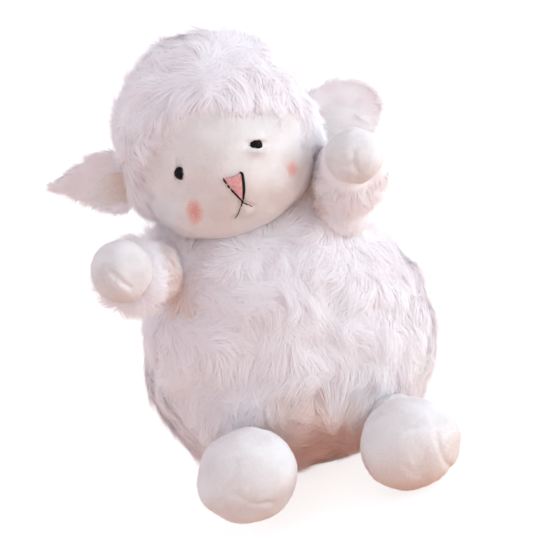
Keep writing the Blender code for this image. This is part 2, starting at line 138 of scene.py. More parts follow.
# Strands to the square millimetre, and the seed of their places
PILE = {
    "body": (3.2, 1), "hood": (3.6, 2), "face": (9.0, 3), "ear": (5.0, 40), "lining": (9.0, 50),
    "sleeve": (3.4, 20), "hand": (9.0, 60), "leg": (7.5, 70), "tail": (3.4, 30),
}

# Limbs and tail
ARM_LENGTH = 49 * MM
SLEEVE_RADIUS = 19 * MM
HAND_RADIUS = 14.5 * MM
HAND_SIZE = {"left": 0.88, "right": 0.95}
ARM_SHIFT = {"left": np.array([-4.2, 0, 0]) * MM, "right": np.array([-1.0, 0, 3.0]) * MM}
CUFF_DROP = {"left": np.array([3.6, 0, 4.5]) * MM, "right": np.array([1.0, 0, -5.5]) * MM}
HAND_SHIFT = {"left": np.array([-1.4, 0, 2.2]) * MM, "right": np.array([3.2, 0, 0]) * MM}
SLEEVE_TRIM = {"left": (4.4 * MM, 3.4 * MM), "right": (3.4 * MM, 3.0 * MM)}
SHOULDER_RADIUS = 17.5 * MM
LEG_LENGTH = 51 * MM
FOOT_RADIUS = 23 * MM
HIP_RADIUS = 19 * MM
TAIL_LENGTH = 28 * MM
TAIL_RADIUS = 11 * MM
TAIL_ROOT_RADIUS = 9 * MM
LIMB_INSET = 1.5 * MM
ARM_LIFT = {"left": 50 * DEG, "right": 28 * DEG}
ARM_TURN = {"left": 68 * DEG, "right": 62 * DEG}
LEG_LIFT = {"left": 0, "right": 15 * DEG}
LEG_TURN = {"left": 88 * DEG, "right": 84 * DEG}
TAIL_LIFT = -20 * DEG
ROOT_CONE = 60 * DEG
SWAY_START = -19 * MM
WRIST_SHARE = 0.6
HAND_MIDDLE_SHARE = 0.72
LEG_ROOT_SHARE = 0.62
FOOT_MIDDLE_SHARE = 0.6
FOOT_BALL_SHARE = 0.96
SLEEVE_SHARES = ((0.46, 0.91), (0.60, 0.98), (0.74, 1.00), (0.88, 0.95), (1.00, 0.83))
HAND_SHARES = (
    (0.52, 0.80), (0.60, 0.90), (0.67, 0.98), (0.74, 1.00),
    (0.81, 0.95), (0.88, 0.81), (0.94, 0.60), (0.98, 0.34),
)
LEG_SHARES = (
    (0.32, 0.84), (0.43, 0.92), (0.54, 0.98), (0.63, 1.00), (0.72, 0.97),
    (0.81, 0.88), (0.89, 0.72), (0.95, 0.50), (0.985, 0.27),
)
TAIL_SHARES = ((0.30, 0.86), (0.45, 0.99), (0.60, 1.00), (0.75, 0.88), (0.88, 0.62), (0.97, 0.30))
FOOT_REST = {"left": 0.5 * MM, "right": 31 * MM}
FOOT_SQUEEZE = {"left": 0.86, "right": 0.90}
# Painted warm shade low on each foot near the floor, up to about twice this height
FOOT_PAINTED_SHADE = {"left": 17 * MM, "right": 1 * MM}
FOOT_SHIFT = {"left": Vector((-1.5, -2.5, 0)) * MM, "right": Vector((2.2, 0, 0)) * MM}

# Grooves in pixels of the photograph, with their depth and width in millimetres
HAND_CREASES = {
    "right": (
        (((109.5, 272), (116, 276.5), (122, 282.5), (130, 287.5)), 1.0, 1.3),
        (((116, 276.5), (113.5, 284)), 0.6, 1.1),
        (((104, 281), (112, 292)), 0.5, 1.6),
    ),
    "left": (
        (((354.5, 152), (354, 161), (358, 171)), 1.0, 1.6),
        (((354, 161), (347, 166)), 0.7, 1.4),
        (((364, 166), (356, 178)), 0.6, 1.8),
    ),
}
LEG_CREASES = {
    "right": (
        (((224, 490.5), (232, 478), (236, 462)), 1.3, 1.8),
        (((224.5, 489), (238, 497.5), (254, 504.5), (272, 503)), 1.1, 1.5),
        (((226, 489), (216, 484)), 0.7, 1.3),
        (((227, 490), (222, 500)), 0.6, 1.3),
        (((230, 487), (242, 484)), 0.5, 1.4),
    ),
    "left": (
        (((437, 433), (440.5, 447), (446, 461), (453, 470)), 1.0, 1.8),
        (((404, 466), (414, 476), (425, 480)), 0.5, 1.6),
        (((418, 455), (420, 472)), 0.4, 1.4),
    ),
}

# Ears
EAR_LENGTH = 31 * MM
EAR_HALF_WIDTH = 15.5 * MM
EAR_HALF_THICKNESS = 5 * MM
EAR_ROOT_RADIUS = 2 * MM
EAR_TILT = {"left": -12 * DEG, "right": -6 * DEG}
EAR_SWEEP_SHARE = {"left": 0.05, "right": 0.36}
EAR_ROOT_WIDTH_SHARE = 0.78
EAR_INSET = 1.5 * MM
EAR_CUP = 2 * MM
LINING_START_SHARE = -0.08
LINING_THICKNESS_SHARE = 0.55
EAR_SHARES = (
    (0.12, 0.86, 0.62), (0.30, 1.00, 0.92), (0.50, 0.98, 1.00),
    (0.70, 0.82, 0.90), (0.85, 0.57, 0.72), (0.95, 0.31, 0.45),
)
EAR_TIP_TUFT = {"left": 0.0, "right": 0.15}
EAR_PINCH = {"left": -0.30, "right": 0.60}
# How far painted warm shade reaches along each ear lining from the ear's root
LINING_PAINTED_SHADE = {"left": 2 * MM, "right": 13 * MM}
EAR_PILE = {"left": 6.5 * MM, "right": 6.5 * MM}
EAR_FLARE = {"left": 0.35, "right": 0.20}
LINING_SHAPE = {"left": (0.74, 0.66, 0.28), "right": (0.60, 0.58, 0.32)}

# Camera: it stands in front, looks down, and is rolled
VIEW_TARGET = np.array([3.0, 0, 94.5]) * MM
VIEW_DISTANCE = 650 * MM
VIEW_ELEVATION = 21 * DEG
VIEW_ROLL = 19.5 * DEG
LENS = 87.0
SENSOR = 36
FRAME = 540

# Light
LAMP_TARGET = (0, 0, 0.1)
LAMP_SIZE = 0.7
LAMPS = (
    ("key", (1.05, -0.40, 0.32), 8.4, (0.74, 0.93, 1.0)),
    ("fill", (-0.90, -0.45, 0.40), 1.0, (0.40, 0.80, 1.0)),
)
GLOW_COLOUR = (1.0, 0.91, 0.96, 1)
GLOW_STRENGTH = 0.78
FLOOR_HALF = 6.0


# Small sums

def unit(rows):
    """Each row at length 1."""
    return rows / np.maximum(np.linalg.norm(rows, axis=-1, keepdims=True), 1e-12)


def smoothstep(low, high, values):
    """0 below low, 1 above high, and smooth between."""
    share = np.clip((values - low) / (high - low), 0, 1)
    return share * share * (3 - 2 * share)


def bell(points, centre, reach):
    """1 at a centre, fading away over a reach."""
    return np.exp(-((np.linalg.norm(points - centre, axis=1) / reach) ** 2))


def ripple(points, wavelength, seed, waves=10):
    """Smooth noise of about -1 to 1, a sum of plane waves in random directions."""
    rng = np.random.default_rng(seed)
    total = np.zeros(len(points))
    for _ in range(waves):
        direction = unit(rng.normal(size=3))
        turns = points @ direction / (wavelength * rng.uniform(0.7, 1.4))
        total += np.sin(2 * math.pi * (turns + rng.random()))
    return total / math.sqrt(waves)


def heading(side, turn, lift):
    """A direction that turns from straight sideways to the front, and lifts above level."""
    level = math.cos(lift)
    return np.array([SIDES[side] * level * math.cos(turn), -level * math.sin(turn), math.sin(lift)])


def face_direction(turn, lift):
    """A direction from the head's centre, by its turn to the viewer's right and its lift."""
    return np.array([math.cos(lift) * math.sin(turn), -math.cos(lift) * math.cos(turn), math.sin(lift)])


VIEW_BACK = np.array([0, -math.cos(VIEW_ELEVATION), math.sin(VIEW_ELEVATION)])
LEVEL_UP = np.array([0, math.sin(VIEW_ELEVATION), math.cos(VIEW_ELEVATION)])
VIEW_RIGHT = np.array([math.cos(VIEW_ROLL), 0, 0]) - LEVEL_UP * math.sin(VIEW_ROLL)
VIEW_UP = np.array([math.sin(VIEW_ROLL), 0, 0]) + LEVEL_UP * math.cos(VIEW_ROLL)
VIEW_PLACE = VIEW_TARGET + VIEW_BACK * VIEW_DISTANCE


def seen(x, y, centre, radius_of):
    """Where the line of sight through a pixel of the photograph meets a rounded form about a centre."""
    focal = LENS / SENSOR * FRAME
    sight = unit(-VIEW_BACK + VIEW_RIGHT * (x - FRAME / 2) / focal + VIEW_UP * (FRAME / 2 - y) / focal)
    middle = (centre - VIEW_PLACE) @ sight
    off = np.linalg.norm(VIEW_PLACE + sight * middle - centre)
    radius = radius_of(VIEW_BACK[None])[0]
    for _ in range(6):
        reach = middle - math.sqrt(max(radius ** 2 - off ** 2, 0))
        radius = radius_of(unit(VIEW_PLACE + sight * reach - centre)[None])[0]
    return VIEW_PLACE + sight * reach


FACE_AXIS = face_direction(0, FACE_TILT)
MUZZLE_AXIS = face_direction(0, MUZZLE_TILT)


def angle_to(directions, axis):
    """The angle between each direction and an axis."""
    return np.arccos(np.clip(directions @ axis, -1, 1))


def past_seam(points):
    """How far behind the seam of face and hood each point is, as an angle at the head's centre."""
    return angle_to(unit(points - HEAD_CENTRE), FACE_AXIS) - FACE_HALF_ANGLE


def smooth_path(points, count):
    """A Catmull-Rom curve through a few points, with even steps along its length."""
    points = np.array(points, float)
    ends = np.vstack([2 * points[0] - points[1], points, 2 * points[-1] - points[-2]])
    t = np.linspace(0, 1, 12, endpoint=False)[:, None]
    runs = []
    for a, b, c, d in zip(ends, ends[1:], ends[2:], ends[3:]):
        square, cube = 2 * a - 5 * b + 4 * c - d, 3 * b - a - 3 * c + d
        runs.append(0.5 * (2 * b + (c - a) * t + square * t ** 2 + cube * t ** 3))
    dense = np.vstack(runs + [points[-1:]])
    travelled = np.concatenate([[0], np.cumsum(np.linalg.norm(np.diff(dense, axis=0), axis=1))])
    even = np.linspace(0, travelled[-1], count)
    return np.stack([np.interp(even, travelled, dense[:, k]) for k in range(dense.shape[1])], axis=1)


def arc(radius, start, end, steps):
    """Points of a circle about the origin, by angle from the +along direction."""
    angles = np.linspace(start, end, steps + 1)
    return [(radius * math.cos(a), radius * math.sin(a) if 0 < a < math.pi - 1e-9 else 0) for a in angles]


# Meshes

def add_object(name, data):
    """An object in the scene."""
    obj = bpy.data.objects.new(name, data)
    bpy.context.scene.collection.objects.link(obj)
    return obj


def grid_mesh(name, *grids):
    """A mesh over grids of points whose columns close round, welded at its poles."""
    corners, faces, start = [], [], 0
    for grid in grids:
        rows, columns = grid.shape[:2]
        index = np.arange(rows * columns).reshape(rows, columns) + start
        after = np.roll(index, -1, axis=1)
        faces.append(np.stack([index[:-1], after[:-1], after[1:], index[1:]], axis=-1).reshape(-1, 4))
        corners.append(grid.reshape(-1, 3))
        start += rows * columns
    mesh = bpy.data.meshes.new(name)
    mesh.from_pydata(np.vstack(corners).tolist(), [], np.vstack(faces).tolist())
    obj = add_object(name, mesh)
    weld = obj.modifiers.new("weld", "WELD")
    weld.merge_threshold = WELD
    bpy.context.view_layer.update()
    welded = bpy.data.meshes.new_from_object(obj.evaluated_get(bpy.context.evaluated_depsgraph_get()))
    obj.modifiers.clear()
    obj.data = welded
    bpy.data.meshes.remove(mesh)
    welded.name = name
    volume = mesh_volume(welded)
    if volume < 0:
        welded.flip_normals()
    welded.shade_smooth()
    return obj


def mesh_arrays(mesh):
    """A mesh's corners, triangles and smooth normals as arrays."""
    mesh.calc_loop_triangles()
    corners = np.zeros(len(mesh.vertices) * 3)
    mesh.vertices.foreach_get("co", corners)
    triangles = np.zeros(len(mesh.loop_triangles) * 3, np.int32)
    mesh.loop_triangles.foreach_get("vertices", triangles)
    normals = np.zeros(len(mesh.vertices) * 3)
    mesh.vertex_normals.foreach_get("vector", normals)
    return corners.reshape(-1, 3), triangles.reshape(-1, 3), normals.reshape(-1, 3)


def mesh_volume(mesh):
    """The signed volume between a mesh and its middle."""
    corners, triangles, _ = mesh_arrays(mesh)
    corners = corners - corners.mean(0)
    a, b, c = (corners[triangles[:, k]] for k in range(3))
    return float(np.einsum("ij,ij->i", a, np.cross(b, c)).sum() / 6)


def turned_grid(path, origin, direction, steps):
    """Points of a path of (along, radius) that is turned about a direction."""
    direction = unit(np.array(direction, float))
    side = unit(np.cross(direction, [0, 0, 1]))
    up = np.cross(side, direction)
    angles = np.linspace(0, 2 * math.pi, steps, endpoint=False)
    ring = np.cos(angles)[:, None] * side + np.sin(angles)[:, None] * up
    return origin + path[:, 0, None, None] * direction + path[:, 1, None, None] * ring[None]


def tube_grid(line, radius, sides=8, flat=1.0, normals=None):
    """Rings along a thread that closes to a point at both ends."""
    line = np.array(line, float)
    tangent = unit(np.gradient(line, axis=0))
    normals = unit(line - HEAD_CENTRE) if normals is None else normals
    side = unit(np.cross(tangent, normals))
    up = np.cross(side, tangent)
    ends = np.ones(len(line))
    ends[[0, -1]] = 0
    ends[[1, -2]] = 0.75
    angles = np.linspace(0, 2 * math.pi, sides, endpoint=False)
    ring = np.cos(angles)[None, :, None] * side[:, None] + flat * np.sin(angles)[None, :, None] * up[:, None]
    return line[:, None] + ring * (radius * ends)[:, None, None]


def set_corners(obj, corners):
    """Put a form's corners in new places."""
    obj.data.vertices.foreach_set("co", corners.ravel())
    obj.data.update()


def move_skin(obj, heights):
    """Move a form's skin along its normals by a height at each of its corners."""
    corners, _, normals = mesh_arrays(obj.data)
    set_corners(obj, corners + normals * heights(corners)[:, None])


def swell(obj, piece, side=None):
    """Raise and lower a form's skin in the soft lumps of its kind of piece."""
    def heights(points):
        total = 0
        for height, length, seed in SWELLS[piece]:
            seed += SIDES.get(side, 0)
            total = total + height * MM * ripple(points, length * MM, seed, LUMP_WAVES)
        return total

    move_skin(obj, heights)


def pile_of(piece, side=None):
    """The density of a piece's pile, and its seed, which differs from side to side."""
    density, seed = PILE[piece]
    return density, seed + SIDES.get(side, 0)


def away_from(points, line):
    """How far each point is from a line of points."""
    line = smooth_path(line, 24)
    return np.min([np.linalg.norm(points - spot, axis=1) for spot in line], axis=0)


def crease(obj, line, depth, width):
    """Press a groove into a form along a line of points on its skin."""
    move_skin(obj, lambda p: -depth * np.exp(-((away_from(p, line) / width) ** 2)))


# Pile

def scatter(obj, per_mm2, rng, keep=None):
    """Random points on a piece with their smooth normals, so many to the square millimetre."""
    corners, triangles, normals = mesh_arrays(obj.data)
    a, b, c = (corners[triangles[:, k]] for k in range(3))
    areas = np.linalg.norm(np.cross(b - a, c - a), axis=1) / 2
    count = int(areas.sum() / MM ** 2 * per_mm2)
    chosen = rng.choice(len(areas), count, p=areas / areas.sum())
    shares = rng.random((2, count))
    shares = np.where(shares.sum(0) > 1, 1 - shares, shares)
    weights = np.stack([1 - shares.sum(0), *shares], axis=1)[:, :, None]
    points = (corners[triangles[chosen]] * weights).sum(1)
    directions = unit((normals[triangles[chosen]] * weights).sum(1))
    if keep is not None:
        kept = keep(points)
        points, directions = points[kept], directions[kept]
    return points, directions


def thin(points, spacing):
    """The numbers of points that are left when only one stays in each cell."""
    cells = np.floor(points / spacing).astype(np.int64)
    _, first = np.unique(cells, axis=0, return_index=True)
    return first


def nearest(centres, points):
    """The number of the nearest centre to each point."""
    tree = KDTree(len(centres))
    for number, centre in enumerate(centres):
        tree.insert(centre, number)
    tree.balance()
    return np.array([tree.find(point)[1] for point in points.tolist()])


FLEECE = {
    "length": 13 * MM, "spread": 0.15, "width": 0.34 * MM, "rise": 38 * DEG, "fall": -3 * DEG,
    "steps": 3, "lift": 0.09,
    "lock": 9 * MM, "grip": 0.25, "swirl": 1.2, "wander": 50 * MM, "curl": 0.8, "stray": 0.15, "tufts": 0.3,
}
TALL = {"rise": 30 * DEG, "fall": 0, "lift": 0.10, "lock": 5 * MM, "grip": 0.6}
TALL_LENGTH_SHARE = 0.8
NAP = {
    "length": 1.9 * MM, "spread": 0.2, "width": 0.30 * MM, "rise": 34 * DEG, "fall": 8 * DEG,
    "steps": 2, "lift": 0.05,
    "lock": 2.5 * MM, "grip": 0.1, "swirl": 0.7, "wander": 22 * MM, "curl": 0.3, "stray": 0.35,
}


def lay_strands(points, normals, flow, style, rng):
    """Centrelines of strands that rise from their roots, fall over along the flow and gather into locks."""
    steps = style["steps"]
    count = len(points)
    along = unit(flow - (flow * normals).sum(1, keepdims=True) * normals)
    across = np.cross(normals, along)
    locks = thin(points, style["lock"])
    member = nearest(points[locks], points)
    turn = style["swirl"] * (ripple(points, style["wander"], 11) + 0.12 * rng.normal(size=len(locks))[member])
    turn = turn[locks][member] * 0.3 + turn * 0.7 + style["stray"] * rng.normal(size=count)
    curl = style["curl"] * (rng.normal(size=len(locks))[member] + style["stray"] * rng.normal(size=count))
    uneven = 0.6 * rng.normal(size=len(locks))[member] + rng.normal(size=count)
    length = style["length"] * (1 + style["spread"] * uneven)
    length = np.clip(length, 0.5 * style["length"], 1.5 * style["length"])
    if style.get("shorten"):
        length *= style["shorten"](points)
    rise = style["rise"] + style["lift"] * rng.normal(size=len(locks))[member] + 0.12 * rng.normal(size=count)
    fall = style["fall"](points) if callable(style["fall"]) else style["fall"]
    line = np.zeros((count, steps + 1, 3))
    line[:, 0] = points
    share = np.linspace(0, 1, steps + 1) ** 1.35
    for k in range(steps):
        middle = (share[k] + share[k + 1]) / 2
        lift = fall + (rise - fall) * (1 - middle) ** 5 + 0.5 * (rise - style["rise"])
        way = turn + curl * middle
        flat = along * np.cos(way)[:, None] + across * np.sin(way)[:, None]
        step = flat * np.cos(lift)[:, None] + normals * np.sin(lift)[:, None]
        line[:, k + 1] = line[:, k] + step * (length * (share[k + 1] - share[k]))[:, None]
    grip = np.clip(style["grip"] + 0.25 * rng.normal(size=count), 0, 0.92)
    pull = grip[:, None] * share[None] ** 1.4
    line += (line[locks][member] - line) * pull[:, :, None]
    line[:, :, 2] = np.maximum(line[:, :, 2], FLOOR_GAP)
    return line, member


def ribbon_mesh(name, line, normals, width, slots):
    """Flat tapering strands along their centrelines, shaded as one soft surface."""
    count, knots = line.shape[:2]
    rings = knots - 1
    tangent = np.gradient(line, axis=1)
    side = unit(np.cross(tangent[:, :rings], normals[:, None]))
    taper = np.linspace(1, 0.35, rings)
    half = (width[:, None] * taper[None] / 2)[:, :, None]
    left, right = line[:, :rings] - side * half, line[:, :rings] + side * half
    corners = np.concatenate([np.stack([left, right], axis=2).reshape(count, -1, 3), line[:, -1:]], axis=1)
    each = corners.shape[1]
    start = (np.arange(count) * each)[:, None]
    quads = [[2 * k, 2 * k + 1, 2 * k + 3, 2 * k + 2] for k in range(rings - 1)]
    tip = [2 * rings - 2, 2 * rings - 1, 2 * rings]
    loops = start + np.array([n for quad in quads for n in quad] + tip)
    sizes = np.tile([4] * (rings - 1) + [3], count)
    mesh = bpy.data.meshes.new(name)
    mesh.vertices.add(count * each)
    mesh.vertices.foreach_set("co", corners.ravel().astype(np.float32))
    mesh.loops.add(loops.size)
    mesh.loops.foreach_set("vertex_index", loops.ravel().astype(np.int32))
    mesh.polygons.add(len(sizes))
    mesh.polygons.foreach_set("loop_start", np.concatenate([[0], np.cumsum(sizes)[:-1]]).astype(np.int32))
    mesh.update(calc_edges=True)
    mesh.polygons.foreach_set("material_index", np.repeat(slots, rings).astype(np.int32))
    mesh.polygons.foreach_set("use_smooth", np.ones(len(sizes), bool))
    facing = np.cross(side, tangent[:, :rings])
    facing = unit(facing * np.sign((facing * normals[:, None]).sum(-1, keepdims=True)))
    soft = unit(0.9 * normals[:, None] + 0.1 * facing)
    soft = np.concatenate([np.repeat(soft, 2, axis=1), soft[:, -1:]], axis=1)
    mesh.normals_split_custom_set_from_vertices(soft.reshape(-1, 3))
    return add_object(name, mesh)


# Materials

def principled(name, colour, roughness, sheen=0.0):
    """A plain surface to build on."""
    mat = bpy.data.materials.new(name)
    mat.use_nodes = True
    shader = mat.node_tree.nodes["Principled BSDF"]
    shader.inputs["Base Color"].default_value = (*colour, 1)
    shader.inputs["Roughness"].default_value = roughness
    shader.inputs["Sheen Weight"].default_value = sheen
    shader.inputs["Specular IOR Level"].default_value = 0.0
    return mat


def vary(mat, dark, light, scale, bump, detail=4):
    """Colour that wanders between two shades, and a matching fine relief, by noise in the object's space."""
    tree = mat.node_tree
    shader = tree.nodes["Principled BSDF"]
    place = tree.nodes.new("ShaderNodeTexCoord")
    noise = tree.nodes.new("ShaderNodeTexNoise")
    noise.inputs["Scale"].default_value = scale
    noise.inputs["Detail"].default_value = detail
    ramp = tree.nodes.new("ShaderNodeValToRGB")
    ramp.color_ramp.elements[0].position, ramp.color_ramp.elements[0].color = 0.3, (*dark, 1)
    ramp.color_ramp.elements[1].position, ramp.color_ramp.elements[1].color = 0.7, (*light, 1)
    relief = tree.nodes.new("ShaderNodeBump")
    relief.inputs["Strength"].default_value = 0.5
    relief.inputs["Distance"].default_value = bump
    tree.links.new(place.outputs["Object"], noise.inputs["Vector"])
    tree.links.new(noise.outputs["Fac"], ramp.inputs["Fac"])
    tree.links.new(ramp.outputs["Color"], shader.inputs["Base Color"])
    tree.links.new(noise.outputs["Fac"], relief.inputs["Height"])
    tree.links.new(relief.outputs["Normal"], shader.inputs["Normal"])
    return mat


# The last two fleece tints are painted warm shade, for the fleece where shade falls between the legs and
# beside the sleeves
FLEECE_TINTS = [
    principled("fleece_" + shade, colour, 0.9) for shade, colour in (
        ("light", (0.990, 0.984, 0.995)),
        ("mid", (0.984, 0.972, 0.986)),
        ("shade", (0.972, 0.956, 0.972)),
        # painted warm shade, light and deep
        ("warm", (0.965, 0.90, 0.875)),
        ("painted_shade_deep", (0.95, 0.80, 0.73)),
    )
]
FLEECE_SKIN = vary(
    principled("fleece_skin", (0.96, 0.95, 0.96), 0.9),
    (0.93, 0.90, 0.92), (0.985, 0.975, 0.985), 90, 0.5 * MM,
)
PLUSH_TINTS = [
    principled("plush_light", (0.945, 0.94, 0.945), 0.85),
    principled("plush_mid", (0.92, 0.912, 0.915), 0.85),
    principled("plush_shade", (0.885, 0.873, 0.87), 0.85),
    principled("blush_pale", (0.94, 0.79, 0.77), 0.85),
    principled("blush_mid", (0.93, 0.66, 0.63), 0.85),
    principled("blush_deep", (0.90, 0.50, 0.47), 0.85),
    # painted warm shade, for the linings near the ears' roots and the feet near the floor
    principled("plush_painted_shade", (0.90, 0.80, 0.73), 0.85),
]
# The slot of the painted warm shade
PAINTED_SHADE_SLOT = len(PLUSH_TINTS) - 1
PLUSH_SKIN = vary(
    principled("plush_skin", (0.9, 0.88, 0.86), 0.85),
    (0.86, 0.83, 0.80), (0.93, 0.91, 0.89), 500, 0.2 * MM,
)
EYE = vary(
    principled("eye", (0.01, 0.01, 0.01), 0.3),
    (0.006, 0.005, 0.006), (0.014, 0.012, 0.013), 400, 0.01 * MM,
)
EYE.node_tree.nodes["Principled BSDF"].inputs["Specular IOR Level"].default_value = 0.1
NOSE = vary(
    principled("nose_thread", (0.80, 0.42, 0.44), 0.5),
    (0.70, 0.34, 0.34), (0.86, 0.53, 0.54), 700, 0.1 * MM,
)
THREAD = vary(
    principled("black_thread", (0.02, 0.018, 0.02), 0.6),
    (0.012, 0.010, 0.012), (0.04, 0.035, 0.037), 1500, 0.1 * MM,
)
WASHER = vary(
    principled("washer", (0.85, 0.85, 0.82), 0.4),
    (0.80, 0.80, 0.77), (0.87, 0.87, 0.84), 700, 0.05 * MM,
)


def fleece(
    name, body, base, flow_of, density, rng_seed, keep=None, style=FLEECE, parts=1, tint_of=None, nodes=(),
):
    """A cloth form under long pile, in as many pieces as keep each one light."""
    rng = np.random.default_rng(rng_seed)
    base.data.materials.clear()
    base.data.materials.append(FLEECE_SKIN)
    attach(base, body)
    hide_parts(*nodes)
    points, normals = scatter(base, density, rng, keep)
    line, member = lay_strands(points, normals, flow_of(points), style, rng)
    upright = rng.random(len(points)) < style["tufts"] * (1 + 0.9 * ripple(points, 26 * MM, rng_seed + 9))
    tall = dict(style, length=TALL_LENGTH_SHARE * style["length"], **TALL)
    line[upright] = lay_strands(points[upright], normals[upright], flow_of(points[upright]), tall, rng)[0]
    for root, reach, tip in style.get("points", ()):
        root, tip = np.array(root) * MM, np.array(tip) * MM
        drawn = (rng.random(len(points)) < 1.6 * bell(points, root, reach * MM) - 0.2)[:, None, None]
        share = np.linspace(0, 1, line.shape[1])[None, :, None]
        ends = tip + 0.12 * (points - root) + 0.8 * MM * rng.normal(size=points.shape) * [1, 0.4, 1]
        rise = 2.5 * MM * np.sin(math.pi * share) * normals[:, None]
        line = np.where(drawn, points[:, None] + (ends - points)[:, None] * share + rise, line)
    width = style["width"] * rng.uniform(0.7, 1.3, len(points))
    shade = ripple(points, 30 * MM, rng_seed + 5) + 0.6 * rng.normal(size=member.max() + 1)[member]
    slots = 2 - np.digitize(shade, [-0.6, 0.9])
    if tint_of:
        slots = tint_of(points, slots, rng)
    order = np.argsort(np.arctan2(points[:, 0], -points[:, 1]))
    for number, chosen in enumerate(np.array_split(order, parts)):
        label = name + "_pile" + (f"_{number + 1}" if parts > 1 else "")
        piece = ribbon_mesh(label, line[chosen], normals[chosen], width[chosen], slots[chosen])
        for tint in FLEECE_TINTS:
            piece.data.materials.append(tint)
        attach(piece, body)
    return base


def nap(name, body, base, flow_of, density, rng_seed, keep=None, tint_of=None, style=NAP, nodes=()):
    """A cloth form under short plush pile."""
    rng = np.random.default_rng(rng_seed)
    base.data.materials.clear()
    base.data.materials.append(PLUSH_SKIN)
    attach(base, body)
    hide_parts(*nodes)
    points, normals = scatter(base, density, rng, keep)
    line, _ = lay_strands(points, normals, flow_of(points), style, rng)
    width = style["width"] * rng.uniform(0.7, 1.3, len(points))
    shade = 0.7 * ripple(points, 14 * MM, rng_seed + 5) + 0.7 * rng.normal(size=len(points))
    slots = 2 - np.digitize(shade, [-1.0, 0.5])
    if tint_of:
        slots = tint_of(points, slots, rng)
    piece = ribbon_mesh(name + "_nap", line, normals, width, slots)
    for tint in PLUSH_TINTS:
        piece.data.materials.append(tint)
    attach(piece, body)
    return base


# Torso

def torso_grid(inset):
    """The body's skin: a flat seat, a belly, and shoulders that close at the neck."""
    rows, columns = 120, 200
    floor, belly, crown = 0.0, TORSO_HEIGHT * BELLY_HEIGHT_SHARE, TORSO_HEIGHT - inset - NECK_DIP
    half_width, seat = TORSO_HALF_WIDTH - inset, SEAT_RADIUS - inset
    path = [(floor, 0), (floor, seat * 0.5)]
    for k in range(rows // 3 + 1):
        angle = 90 * DEG * k / (rows // 3)
        width = seat + (half_width - seat) * math.sin(angle)
        path.append((floor + (belly - floor) * (1 - math.cos(angle)), width))
    power = 2 / SHOULDER_FULLNESS
    for k in range(1, rows + 1):
        angle = 90 * DEG * k / rows
        radius = half_width * max(math.cos(angle), 0) ** power
        path.append((belly + (crown - belly) * math.sin(angle) ** power, radius if k < rows else 0))
    path = np.array(path)
    angles = np.linspace(0, 2 * math.pi, columns, endpoint=False)
    grid = np.zeros((len(path), columns, 3))
    grid[:, :, 0] = path[:, 1, None] * np.cos(angles)
    lean = TORSO_LEAN * (path[:, 0, None] / TORSO_HEIGHT) ** 2
    grid[:, :, 1] = path[:, 1, None] * np.sin(angles) * TORSO_DEPTH_SHARE - lean
    grid[:, :, 2] = path[:, 0, None]
    return grid


def press_flat(obj, floor):
    """Keep a form above a floor."""
    corners, _, _ = mesh_arrays(obj.data)
    corners[:, 2] = np.maximum(corners[:, 2], floor)
    set_corners(obj, corners)


def downwards(points):
    """Down the body, and turned up towards the head round the neck."""
    down = np.tile([0.0, 0.0, -1.0], (len(points), 1)) + 0.2 * unit(points - HEAD_CENTRE)
    around = np.cross(unit(points - np.array([0, 0, 60]) * MM), down)
    near = 1 - smoothstep(52 * MM, 68 * MM, np.linalg.norm(points - HEAD_CENTRE, axis=1))
    turn = (155 * DEG * near * np.where(points[:, 0] > 0, 1, -1))[:, None]
    return down * np.cos(turn) + around * np.sin(turn)


def painted_shade_tints(points, slots, rng):
    """Painted warm shade where shade falls: low between the legs, beside the raised arm, and between the
    other sleeve and the body.
    """
    level = np.zeros(len(points))
    for centre, reach, strength in PAINTED_SHADE_SPOTS:
        off = (points - np.array(centre) * MM) / (np.array(reach) * MM)
        level += strength * np.exp(-((off ** 2).sum(1)))
    level *= rng.uniform(0.6, 1.4, len(points))
    return np.where(level > 0.28, 3 + (level > 0.62), slots)


def build_torso():
    """The fleece body with its shoulders filled out, and a tuft on its belly."""
    base = grid_mesh("body_skin", torso_grid(TORSO_INSET))
    swell(base, "body")
    for x, y, z, height, reach in SHOULDER_FILLS:
        spot = np.array([x, y, z]) * MM
        move_skin(base, lambda p: height * MM * bell(p, spot, reach * MM))
    press_flat(base, FLOOR_GAP)
    style = dict(FLEECE, points=BELLY_TUFTS)
    keep = lambda p: p[:, 2] > 3 * MM
    nodes = ("body_fleece", "body_stuffing")
    # The body's fleece takes painted warm shade low between the legs and beside the sleeves
    fleece(
        "body", "body", base, downwards, *pile_of("body"), keep,
        style=style, parts=5, tint_of=painted_shade_tints, nodes=nodes,
    )


# Head

EYE_CENTRES = {}
for side in SIDES:
    lo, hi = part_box("eye_" + side)
    EYE_CENTRES[side] = (np.array(lo) + np.array(hi)) / 2
EYE_FRONTS = {side: centre + unit(centre - HEAD_CENTRE) * 2.5 * MM for side, centre in EYE_CENTRES.items()}


